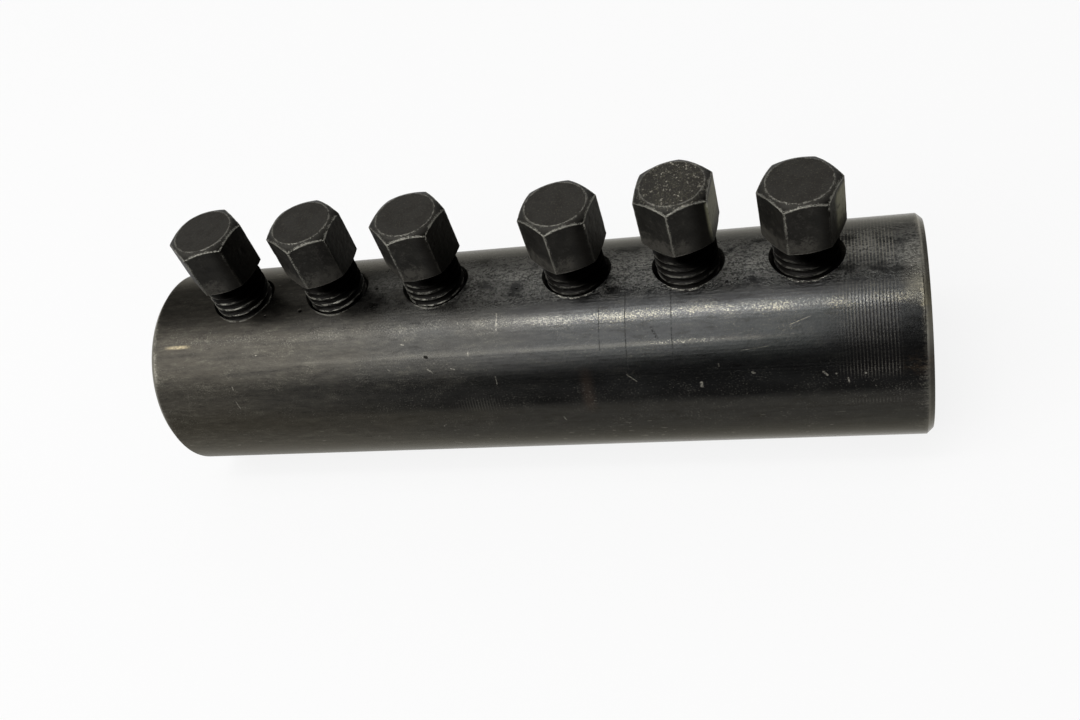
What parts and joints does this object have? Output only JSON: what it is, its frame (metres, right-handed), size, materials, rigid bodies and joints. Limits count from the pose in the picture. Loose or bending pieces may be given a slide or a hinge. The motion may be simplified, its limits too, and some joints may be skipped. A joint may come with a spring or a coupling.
{
  "type": "rebar coupler",
  "caption": "Thick steel sleeve that joins two reinforcing bars end to end: hex-headed lock bolts along its crown press the bars on to toothed saddles in its bore.",
  "frame": {"origin": "on the bore's axis, half way along the sleeve", "axes": "+X along the sleeve and its bore, +Z out along the bolts, +Y to the rear"},
  "size_m": [0.159, 0.0424, 0.0621],
  "materials": {
    "sleeve_steel": "black mill finish, worn and streaked, with turning marks",
    "bolt_steel": "dull black phosphate, worn bright at the edges and thread crests",
    "saddle_steel": "hardened, dull, with clean tooth tips"
  },
  "bodies": {
    "sleeve_body": {"sleeve": "sleeve_steel", "saddle_front": "saddle_steel", "saddle_rear": "saddle_steel"},
    "bolt_1_body": {"bolt_1": "bolt_steel"},
    "bolt_2_body": {"bolt_2": "bolt_steel"},
    "bolt_3_body": {"bolt_3": "bolt_steel"},
    "bolt_4_body": {"bolt_4": "bolt_steel"},
    "bolt_5_body": {"bolt_5": "bolt_steel"},
    "bolt_6_body": {"bolt_6": "bolt_steel"}
  },
  "joints": [
    {"name": "bolt_1_screw", "type": "slide", "parent": "sleeve_body", "child": "bolt_1_body", "axis": [0, 0, 1], "range_m": [-0.0077, 0.004]},
    {"name": "bolt_2_screw", "type": "slide", "parent": "sleeve_body", "child": "bolt_2_body", "axis": [0, 0, 1], "range_m": [-0.0075, 0.004]},
    {"name": "bolt_3_screw", "type": "slide", "parent": "sleeve_body", "child": "bolt_3_body", "axis": [0, 0, 1], "range_m": [-0.00705, 0.004]},
    {"name": "bolt_4_screw", "type": "slide", "parent": "sleeve_body", "child": "bolt_4_body", "axis": [0, 0, 1], "range_m": [-0.0061, 0.004]},
    {"name": "bolt_5_screw", "type": "slide", "parent": "sleeve_body", "child": "bolt_5_body", "axis": [0, 0, 1], "range_m": [-0.0082, 0.004]},
    {"name": "bolt_6_screw", "type": "slide", "parent": "sleeve_body", "child": "bolt_6_body", "axis": [0, 0, 1], "range_m": [-0.0061, 0.004]}
  ]
}
